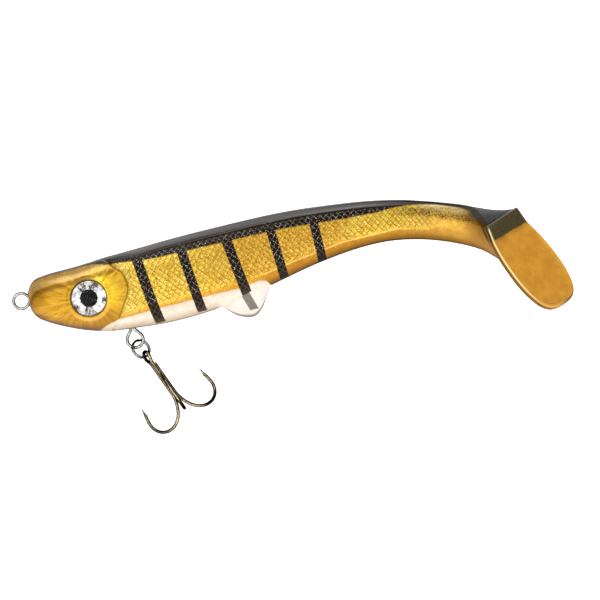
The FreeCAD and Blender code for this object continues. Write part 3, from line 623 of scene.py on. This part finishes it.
def paddle_material():
    n = Nodes("paddle_gold")
    rest = n.attr("rest", True)
    down, across, rear = n.attr("f_down"), n.attr("f_across"), n.attr("f_rear")
    mid = n.noise(rest, 0.22, 3.0)
    fine = n.noise(rest, 1.8, 3.0)
    gold = n.mix(n.ramp(mid, 0.3, 0.7), srgb(196, 134, 38), srgb(212, 150, 48))
    gold = n.mix(n.ramp(fine, 0.45, 0.8, 0.0, 0.25), gold, srgb(230, 176, 70))
    edge = n.ramp(n.math("ABSOLUTE", across), 11.0, 13.8)
    gold = n.mix(n.math("MULTIPLY", edge, 0.30), gold, srgb(232, 178, 74))
    # black band across the top of both faces, with a soft lower edge
    line = n.math("ADD", down, n.math("MULTIPLY", n.math("SUBTRACT", mid, 0.5), 0.8))
    fringe = n.ramp(line, 10.0, 7.0)
    gold = n.mix(n.math("MULTIPLY", fringe, 0.45), gold, srgb(120, 84, 26))
    dark = n.ramp(line, 7.7, 6.8)
    gold = n.mix(dark, gold, n.mix(n.ramp(fine, 0.35, 0.65), srgb(54, 48, 26), srgb(78, 70, 42)))
    # the moulded rim: a painted highlight along the near edge, painted shade in the valley inside it and on the side
    # face
    inset, near = n.attr("f_inset"), n.ramp(across, 2.0, -4.0, 0.15, 1.0)
    face = n.ramp(rear, -0.62, -0.42)
    rim_highlight = n.math("MULTIPLY", n.math("MULTIPLY", n.ramp(inset, 0.072, 0.05), n.ramp(inset, 0.016, 0.03)), face)
    rim_highlight = n.math("MULTIPLY", rim_highlight, n.math("MULTIPLY", n.ramp(down, 0.6, 2.4), n.ramp(down, 26.0, 46.0, 1.0, 0.1)))
    gold = n.mix(n.math("MULTIPLY", n.math("MULTIPLY", rim_highlight, near), 0.9), gold, srgb(250, 218, 142))
    valley_shade = n.math("MULTIPLY", n.math("MULTIPLY", n.ramp(inset, 0.125, 0.095), n.ramp(inset, 0.07, 0.09)), n.math("MULTIPLY", face, n.ramp(down, 1.5, 4.0)))
    gold = n.mix(n.math("MULTIPLY", n.math("MULTIPLY", valley_shade, near), 0.5), gold, srgb(160, 104, 22))
    # painted shade: dark outlines round the edge, wider along the far side
    gold = n.mix(n.math("MULTIPLY", n.ramp(inset, 0.022, 0.006), 0.8), gold, srgb(64, 42, 12))
    gold = n.mix(n.math("MULTIPLY", n.ramp(inset, 0.062, 0.03), n.ramp(across, -4.0, 4.0, 0.0, 0.9)), gold, srgb(64, 42, 12))
    gold = n.mix(n.math("MULTIPLY", n.math("MULTIPLY", n.ramp(rear, -0.7, -1.6), n.ramp(inset, 0.05, 0.02)), 0.85), gold, srgb(84, 54, 12))
    n.set(Base_Color=gold, Roughness=n.ramp(fine, 0.3, 0.7, 0.3, 0.42), Metallic=0.15)
    nrm = n.bump(n.math("ADD", fine, n.math("MULTIPLY", mid, 2.0)), 0.35, 0.00015)
    n.set(Normal=nrm)
    n.b.inputs["Specular IOR Level"].default_value = 0.35
    n.b.inputs["Specular Tint"].default_value = (0.3, 0.2, 0.08, 1.0)
    n.b.inputs["Coat Weight"].default_value = 0.25
    n.b.inputs["Coat Roughness"].default_value = 0.2
    n.b.inputs["Subsurface Weight"].default_value = 0.12
    n.b.inputs["Subsurface Radius"].default_value = (0.003, 0.002, 0.001)
    n.b.inputs["Subsurface Scale"].default_value = 0.5
    return n.m


def metal_material(name, base, dark, shade_colour, rough, scale=900.0):
    n = Nodes(name)
    geo = n.t.nodes.new("ShaderNodeTexCoord").outputs["Object"]
    grain = n.noise(geo, scale, 4.0, 0.6)
    broad = n.noise(geo, scale / 14, 2.0)
    col = n.mix(n.ramp(grain, 0.35, 0.75), dark, base)
    col = n.mix(n.ramp(broad, 0.4, 0.75, 0.0, 0.5), col, dark)
    # painted shade: the wire keeps its metal colour only where it faces along ±y, and turns to the shade colour towards
    # its top and bottom
    side = n.math("ABSOLUTE", n.sep(n.t.nodes.new("ShaderNodeTexCoord").outputs["Normal"])[1])
    edge_shade = n.ramp(n.math("ADD", side, n.math("MULTIPLY", n.math("SUBTRACT", broad, 0.5), 0.15)), 0.80, 0.99)
    col = n.mix(edge_shade, shade_colour, col)
    n.set(Base_Color=col, Metallic=1.0, Roughness=n.ramp(grain, 0.3, 0.7, rough * 0.7, rough * 1.35))
    n.set(Normal=n.bump(grain, 0.25, 0.00004))
    n.b.inputs["Specular Tint"].default_value = (0.02, 0.015, 0.01, 1.0)
    return n.m


def assign(obj, mat):
    obj.data.materials.clear()
    obj.data.materials.append(mat)


def mesh_object(name, verts, faces, mat, smooth_shade=True):
    mesh = bpy.data.meshes.new(name)
    mesh.from_pydata([tuple(v) for v in verts], [], [tuple(f) for f in faces])
    mesh.update()
    mesh.polygons.foreach_set("use_smooth", np.full(len(mesh.polygons), smooth_shade))
    obj = bpy.data.objects.new(name, mesh)
    bpy.context.scene.collection.objects.link(obj)
    if mat is not None:
        mesh.materials.append(mat)
    return obj


# ------------------------------------------------------------------ soft body
skin = skin_material()
cuts = [0.0, q_at_x(100.0), q_at_x(139.5), q_at_x(176.0), Q_END]
NAMES = ["skin_front", "skin_mid", "skin_rear", "skin_tail"]
skins = {}
for name, a, b in zip(NAMES, cuts[:-1], cuts[1:]):
    o = make_skin(name, a, b)
    assign(o, skin)
    skins[name] = o
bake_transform(skins["skin_front"])
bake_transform(skins["skin_mid"])
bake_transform(skins["skin_rear"])
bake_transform(skins["skin_tail"])
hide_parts("body_front", "belly_front")
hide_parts("body_mid", "belly_mid")
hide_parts("body_rear")
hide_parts("tail_stem", "tail_wrist")


# ------------------------------------------------------------------ paddle
def paddle():
    d = np.array([p[1] for p in PADDLE])
    w = np.array([p[0] for p in PADDLE])
    # outline as a closed curve, right side up, over the tip and down the left
    th = np.concatenate([[0], np.cumsum(np.hypot(np.diff(w), np.diff(d)))])
    full_w = np.concatenate([w, -w[-2::-1]])
    full_d = np.concatenate([d, d[-2::-1]])
    full_t = np.concatenate([th, 2 * th[-1] - th[-2::-1]])
    n_edge = 220
    t = np.linspace(0, full_t[-1], n_edge)
    ow, od = spline(full_t, full_w, t), spline(full_t, full_d, t)
    nt = 60
    tw = np.linspace(-w[0], w[0], nt + 2)[1:-1]
    ow, od = np.concatenate([ow, tw]), np.concatenate([od, 0 * tw])
    cw, cd = 0.0, 24.0
    # rings from the rim inwards, front and rear faces
    rad = np.concatenate([1 - np.array([0, 0.004, 0.012, 0.022, 0.032, 0.042, 0.052, 0.062, 0.072, 0.085, 0.10, 0.115]), np.linspace(0.865, 0.02, 34)])
    verts, attrs = [], []

    def thick(k, ww, dd):
        """Half thickness: a rolled rim round a slightly dished rear face."""
        rim = 1 - k
        edge = math.sqrt(max(0.0, 1 - (1 - min(rim / 0.05, 1)) ** 2))
        return PAD_T / 2 * edge

    rings = {}
    for face in (1, -1):
        for i, k in enumerate(rad):
            ring = []
            for ww, dd in zip(ow, od):
                a, b = cw + (ww - cw) * k, cd + (dd - cd) * k
                fade = 1 - smooth(-1.0, 9.0, b)
                b -= (0.75 + 0.37 * a / 10.6) * fade
                a += (1.6 + 0.5 * a / 10.6) * fade
                h = thick(k, a, b)
                dish = 0.0
                if face == 1:
                    dish = 0.22 * math.exp(-(((1 - k - 0.05) / 0.022) ** 2)) - 0.5 * smooth(0.07, 0.16, 1 - k)
                mid_n = -PAD_T / 2
                off = mid_n + face * h + dish
                p = PAD_M + VIS_W * a + VIS_L * b + PAD_N * off
                if i == 0 and face == -1:
                    ring.append(rings[(1, 0)][len(ring)])
                    continue
                ring.append(len(verts))
                verts.append(p)
                attrs.append((b, a, off, 1 - k))
            rings[(face, i)] = ring
    faces = []
    n = len(ow)
    for face in (1, -1):
        for i in range(len(rad) - 1):
            r0, r1 = rings[(face, i)], rings[(face, i + 1)]
            for j in range(n):
                q = [r0[j], r0[(j + 1) % n], r1[(j + 1) % n], r1[j]]
                faces.append(q if face == 1 else q[::-1])
        last = rings[(face, len(rad) - 1)]
        c = len(verts)
        off = -PAD_T / 2 + face * PAD_T / 2 - (0.5 if face == 1 else 0)
        verts.append(PAD_M + VIS_L * cd + PAD_N * off)
        attrs.append((cd, 0.0, off, 1.0))
        for j in range(n):
            tri = [last[j], last[(j + 1) % n], c]
            faces.append(tri if face == 1 else tri[::-1])
    o = mesh_object("paddle_skin", np.array(verts) * MM, faces, paddle_material())
    m = o.data
    at = m.attributes.new("rest", "FLOAT_VECTOR", "POINT")
    at.data.foreach_set("vector", np.array(verts, np.float32).ravel())
    for k, col in (("down", 0), ("across", 1), ("rear", 2), ("inset", 3)):
        at = m.attributes.new("f_" + k, "FLOAT", "POINT")
        at.data.foreach_set("value", np.array([q[col] for q in attrs], np.float32))
    return o


pad = paddle()
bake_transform(pad)
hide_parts("paddle_tip")


# ------------------------------------------------------------------ belly fin
def belly_fin():
    """A rounded soft lobe under the belly."""
    pts_top = [(88.2, -22.6), (93.0, -19.6), (98.5, -17.4), (103.5, -15.9), (107.5, -16.2), (110.6, -17.8), (112.2, -20.4)]
    pts_bot = [(88.0, -24.2), (90.6, -27.2), (94.0, -30.2), (98.0, -32.0), (101.6, -32.3), (105.0, -30.2), (107.8, -26.6), (110.2, -22.6), (112.2, -20.6)]
    ns, nr = 70, 56
    tt = np.linspace(0, 1, ns)
    pt, pb = np.array(pts_top), np.array(pts_bot)
    top = spline(np.linspace(0, 1, len(pt)), pt, tt)
    bot = spline(np.linspace(0, 1, len(pb)), pb, tt)
    verts, faces, vs = [], [], []
    for i in range(ns):
        w = math.sin(math.pi * min(max(tt[i], 0.0), 1.0)) ** 0.55
        for j in range(nr):
            a = 2 * math.pi * j / nr
            c, s = math.cos(a), math.sin(a)
            v = (1 - c) / 2  # 0 at the top, 1 at the bottom edge
            x = top[i, 0] * (1 - v) + bot[i, 0] * v
            z = top[i, 1] * (1 - v) + bot[i, 1] * v
            body_w = 9.9 * (1 - v) ** 1.2 + 0.2
            half = w * abs(s) ** 0.75 * (0.8 + body_w * 0.8 * (1 - v) ** 0.3) * math.copysign(1, s)
            half = math.copysign(min(abs(half), 1.7 + 8.4 * (1 - v) ** 1.6), half) * min(1, w * 1.1)
            verts.append((x, half, z))
            vs.append(v)
    for i in range(ns - 1):
        for j in range(nr):
            k = (j + 1) % nr
            faces.append((i * nr + j, i * nr + k, (i + 1) * nr + k, (i + 1) * nr + j))
    return verts, faces, vs


def fin_material():
    n = Nodes("belly_white")
    geo = n.t.nodes.new("ShaderNodeTexCoord").outputs["Object"]
    x, y, z = n.sep(geo)
    mid = n.noise(geo, 180.0, 3.0)
    fine = n.noise(geo, 1500.0, 3.0)
    col = n.mix(n.ramp(mid, 0.3, 0.75), srgb(216, 206, 194), srgb(227, 221, 211))
    # painted shade along the lobe's bottom edge
    bottom_edge_shade = n.ramp(n.attr("f_v"), 0.88, 0.985)
    col = n.mix(n.math("MULTIPLY", bottom_edge_shade, 0.95), col, srgb(84, 72, 52))
    xc = n.math("ADD", 0.0994, n.math("MULTIPLY", n.math("SUBTRACT", -0.0205, z), 0.30))
    d = n.math("SUBTRACT", 0.0020, n.math("ABSOLUTE", n.math("SUBTRACT", x, xc)))
    s = n.math("MULTIPLY", n.ramp(d, -0.00015, 0.00015), n.ramp(z, -0.0295, -0.0291))
    s = n.math("MULTIPLY", s, n.ramp(z, -0.0180, -0.0176, 1.0, 0.0))
    col = n.mix(n.math("MULTIPLY", s, 0.97), col, n.mix(n.ramp(fine, 0.3, 0.7), srgb(86, 80, 68), srgb(116, 110, 98)))
    ink = n.math("MULTIPLY", s, n.ramp(z, -0.0215, -0.0200))
    col = n.mix(ink, col, srgb(30, 24, 20))
    n.set(Base_Color=col, Roughness=n.ramp(mid, 0.3, 0.7, 0.34, 0.48), Normal=n.bump(fine, 0.12, 0.0001))
    n.b.inputs["Subsurface Weight"].default_value = 0.25
    n.b.inputs["Subsurface Radius"].default_value = (0.004, 0.0025, 0.0018)
    n.b.inputs["Subsurface Scale"].default_value = 0.5
    n.b.inputs["Coat Weight"].default_value = 0.3
    n.b.inputs["Coat Roughness"].default_value = 0.2
    return n.m


fv, ff, fvs = belly_fin()
fin = mesh_object("fin_skin", np.array(fv) * MM, ff, fin_material())
at = fin.data.attributes.new("f_v", "FLOAT", "POINT")
at.data.foreach_set("value", np.array(fvs, np.float32))
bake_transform(fin)
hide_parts("belly_fin")

# ------------------------------------------------------------------ eyes
foil_mat = Nodes("eye_foil")
_g = foil_mat.t.nodes.new("ShaderNodeTexCoord").outputs["Object"]
_v = foil_mat.attr("f_chip")
_f = foil_mat.noise(_g, 900.0, 3.0)
_x, _y, _z = foil_mat.sep(_g)
_ex, _ez = foil_mat.math("SUBTRACT", _x, EYE[0] * MM), foil_mat.math("SUBTRACT", _z, EYE[1] * MM)
_er = foil_mat.math("SQRT", foil_mat.math("ADD", foil_mat.math("MULTIPLY", _ex, _ex), foil_mat.math("MULTIPLY", _ez, _ez)))
_sv = foil_mat.comb(foil_mat.math("MULTIPLY", foil_mat.math("DIVIDE", _ex, _er), 4.2), foil_mat.math("MULTIPLY", foil_mat.math("DIVIDE", _ez, _er), 4.2), foil_mat.math("MULTIPLY", _er, 330.0))
_f = foil_mat.math("ADD", foil_mat.math("MULTIPLY", _f, 0.35), foil_mat.math("MULTIPLY", foil_mat.noise(_sv, 1.0, 3.0, 0.6), 0.65))
_k = foil_mat.math("ADD", _v, foil_mat.math("MULTIPLY", foil_mat.math("SUBTRACT", _f, 0.5), 2.6))
_c = foil_mat.mix(foil_mat.ramp(_k, 0.12, 0.50), srgb(70, 66, 62), srgb(186, 184, 182))
_c = foil_mat.mix(foil_mat.ramp(_k, 0.50, 0.78), _c, srgb(250, 250, 252))
foil_mat.set(Base_Color=_c, Metallic=0.55, Roughness=foil_mat.ramp(_f, 0.3, 0.7, 0.12, 0.26))
foil_mat = foil_mat.m
pupil_mat = Nodes("eye_pupil")
_g = pupil_mat.t.nodes.new("ShaderNodeTexCoord").outputs["Object"]
_f = pupil_mat.noise(_g, 1800.0, 2.0)
pupil_mat.set(Base_Color=pupil_mat.mix(pupil_mat.ramp(_f, 0.3, 0.7), srgb(9, 8, 8), srgb(18, 17, 17)), Roughness=pupil_mat.ramp(_f, 0.3, 0.7, 0.40, 0.55))
pupil_mat.b.inputs["Specular IOR Level"].default_value = 0.1
pupil_mat = pupil_mat.m
lens_mat = Nodes("eye_lens")
_g = lens_mat.t.nodes.new("ShaderNodeTexCoord").outputs["Object"]
_f = lens_mat.noise(_g, 300.0, 2.0)
lens_mat.set(Base_Color=(1, 1, 1, 1), Roughness=lens_mat.ramp(_f, 0.3, 0.7, 0.0, 0.02))
lens_mat.b.inputs["Transmission Weight"].default_value = 1.0
lens_mat.b.inputs["IOR"].default_value = 1.1
lens_mat = lens_mat.m

for side, s in (("left", -1), ("right", 1)):
    # faceted foil: rings of flat chips, each tipped its own way
    r_in, r_out = 3.75, 7.75
    base_y = 11.5
    verts, faces = [], []
    rr = np.random.default_rng(31 if s < 0 else 57)
    n_ang = 16
    chips = []
    bounds = [r_in, 5.9, r_out]
    for ring in range(2):
        a0 = rr.uniform(0, 1)
        for i in range(n_ang):
            t0 = 2 * math.pi * (i + a0) / n_ang
            t1 = 2 * math.pi * (i + 1 + a0) / n_ang
            tilt_r, tilt_a = rr.uniform(-0.32, 0.32, 2)
            quad = []
            for r, t in ((bounds[ring], t0), (bounds[ring + 1], t0), (bounds[ring + 1], t1), (bounds[ring], t1)):
                rc = (bounds[ring] + bounds[ring + 1]) / 2
                tc = (t0 + t1) / 2
                lift = (r - rc) * tilt_r + rc * (t - tc) * tilt_a
                quad.append((EYE[0] + r * math.cos(t), s * (base_y + 0.28 + 0.9 * lift * 0.45), EYE[1] + r * math.sin(t)))
            k = len(verts)
            verts += quad
            faces.append((k, k + 1, k + 2, k + 3) if s < 0 else (k + 3, k + 2, k + 1, k))
            # painted reflections: chips at the listed angles are painted dark, the others bright
            dark_facet_reflections = ((62, 20), (118, 12), (255, 14)) if ring == 0 else ((48, 26), (100, 14), (150, 10), (203, 12), (262, 13), (338, 12))
            for tc in (t0, t0, t1, t1):
                tm = math.degrees(tc) % 360
                dip = max(math.exp(-(((tm - c + 180) % 360 - 180) / w) ** 2) for c, w in dark_facet_reflections)
                chips.append(0.73 - 0.66 * dip)
    # backing disc
    k = len(verts)
    nb = 64
    for i in range(nb):
        t = 2 * math.pi * i / nb
        verts.append((EYE[0] + 7.8 * math.cos(t), s * (base_y - 0.05), EYE[1] + 7.8 * math.sin(t)))
    faces.append(tuple(range(k, k + nb)) if s < 0 else tuple(range(k + nb - 1, k - 1, -1)))
    chips += [0.6] * nb
    o = mesh_object(f"foil_{side}", np.array(verts) * MM, faces, foil_mat, smooth_shade=False)
    at = o.data.attributes.new("f_chip", "FLOAT", "POINT")
    at.data.foreach_set("value", np.array(chips, np.float32))
    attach(o, "head")
    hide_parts(f"eye_foil_{side}")
    # pupil: a domed black disc
    verts, faces = [], []
    nr = 10
    for i in range(nr + 1):
        r = 3.95 * i / nr
        yy = s * (base_y + 0.62 - 0.25 * (i / nr) ** 3)
        for j in range(64):
            t = 2 * math.pi * j / 64
            verts.append((EYE[0] + r * math.cos(t), yy, EYE[1] + r * math.sin(t)))
    for i in range(nr):
        for j in range(64):
            k = (j + 1) % 64
            f = (i * 64 + j, i * 64 + k, (i + 1) * 64 + k, (i + 1) * 64 + j)
            faces.append(f if s > 0 else f[::-1])
    o = mesh_object(f"pupil_{side}", np.array(verts) * MM, faces, pupil_mat)
    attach(o, "head")
    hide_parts(f"eye_pupil_{side}")
    # lens: a clear dome
    verts, faces = [], []
    nr = 18
    for i in range(nr + 1):
        f = i / nr
        r = 7.72 * math.sin(f * math.pi / 2) ** 0.9
        yy = s * (base_y + 0.75 + 1.75 * math.cos(f * math.pi / 2) ** 1.1)
        for j in range(72):
            t = 2 * math.pi * j / 72
            verts.append((EYE[0] + r * math.cos(t), yy, EYE[1] + r * math.sin(t)))
    for i in range(nr):
        for j in range(72):
            k = (j + 1) % 72
            q = (i * 72 + j, i * 72 + k, (i + 1) * 72 + k, (i + 1) * 72 + j)
            faces.append(q if s > 0 else q[::-1])
    base = len(verts)
    for j in range(72):
        t = 2 * math.pi * j / 72
        verts.append((EYE[0] + 7.72 * math.cos(t), s * (base_y + 0.70), EYE[1] + 7.72 * math.sin(t)))
    for j in range(72):
        k = (j + 1) % 72
        q = (nr * 72 + j, nr * 72 + k, base + k, base + j)
        faces.append(q if s > 0 else q[::-1])
    cap = tuple(range(base, base + 72))
    faces.append(cap if s < 0 else cap[::-1])
    o = mesh_object(f"lens_{side}", np.array(verts) * MM, faces, lens_mat)
    o.visible_shadow = False
    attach(o, "head")
    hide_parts(f"eye_dome_{side}")

# ------------------------------------------------------------------ metal
steel = metal_material("wire_steel", srgb(236, 234, 228), srgb(160, 157, 150), srgb(36, 34, 31), 0.16)
bronze = metal_material("hook_bronze", srgb(244, 228, 190), srgb(158, 136, 96), srgb(34, 27, 15), 0.18)
braze = metal_material("braze_brass", srgb(170, 130, 66), srgb(70, 50, 24), srgb(50, 38, 20), 0.4)
lead = metal_material("cast_ballast", srgb(92, 92, 96), srgb(52, 52, 56), srgb(60, 60, 64), 0.55, scale=300.0)
for node in ("line_tie", "hook_hanger", "split_ring"):
    assign(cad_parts[node], steel)
for node in ("treble_double_hook", "treble_single_hook"):
    assign(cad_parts[node], bronze)
assign(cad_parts["treble_braze"], braze)
assign(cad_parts["ballast_weight"], lead)

# ------------------------------------------------------------------ stage, light, camera
ROLL = math.radians(14)
target = Vector((0.1231, 0.0, -0.0302))
right = Vector((math.cos(ROLL), 0, -math.sin(ROLL)))
upv = Vector((math.sin(ROLL), 0, math.cos(ROLL)))
cam_data = bpy.data.cameras.new("camera")
cam_data.lens = 120
cam_data.sensor_width = 36
cam_data.clip_start = 0.01
cam_data.clip_end = 50
cam = bpy.data.objects.new("camera", cam_data)
dist = 0.273 / 36 * 120
back = right.cross(upv)  # from the scene towards the camera
from mathutils import Matrix

m = Matrix((
    (right.x, upv.x, back.x, 0),
    (right.y, upv.y, back.y, 0),
    (right.z, upv.z, back.z, 0),
    (0, 0, 0, 1),
))
m.translation = target + back * dist
cam.matrix_world = m
bpy.context.scene.collection.objects.link(cam)
bpy.context.scene.camera = cam

fm = Nodes("floor_white")
fg = fm.t.nodes.new("ShaderNodeTexCoord").outputs["Object"]
fm.set(Base_Color=fm.mix(fm.noise(fg, 3.0, 2.0), srgb(247, 247, 246), srgb(250, 250, 250)), Roughness=0.9)
fm.b.inputs["Emission Color"].default_value = (1, 1, 1, 1)
fm.b.inputs["Emission Strength"].default_value = 0.62
# floor with a curved sweep up behind
prof = [(-15.0, -0.16), (0.9, -0.16)]
for i in range(1, 13):
    a = math.pi / 2 * i / 12
    prof.append((0.9 + 0.5 * math.sin(a), -0.16 + 0.5 * (1 - math.cos(a))))
prof.append((1.4, 2.4))
fvts = [(x, y, z) for x in (-3.0, 3.2) for y, z in prof]
nfp = len(prof)
ffs = [(i, i + 1, nfp + i + 1, nfp + i) for i in range(nfp - 1)]
floor = mesh_object("floor", fvts, [f[::-1] for f in ffs], fm.m)

world = bpy.data.worlds.new("world")
world.use_nodes = True
world.node_tree.nodes["Background"].inputs[0].default_value = (1, 1, 1, 1)
world.node_tree.nodes["Background"].inputs[1].default_value = 0.42
bpy.context.scene.world = world
bpy.context.scene.view_settings.view_transform = "Standard"


def area(name, loc, at, size, power, size_y=None):
    d = bpy.data.lights.new(name, "AREA")
    d.energy = power
    d.size = size
    if size_y:
        d.shape = "RECTANGLE"
        d.size_y = size_y
    o = bpy.data.objects.new(name, d)
    o.location = loc
    o.rotation_euler = (Vector(at) - Vector(loc)).to_track_quat("-Z", "Y").to_euler()
    bpy.context.scene.collection.objects.link(o)
    return o


area("key_top", (0.05, -0.35, 0.75), (0.12, 0, 0), 0.7, 4.6, 0.45)
area("fill_front", (-0.35, -0.9, 0.15), (0.12, 0, -0.02), 0.8, 2.2)
area("rim_back", (0.45, 0.6, 0.5), (0.12, 0, 0), 0.5, 1.4)
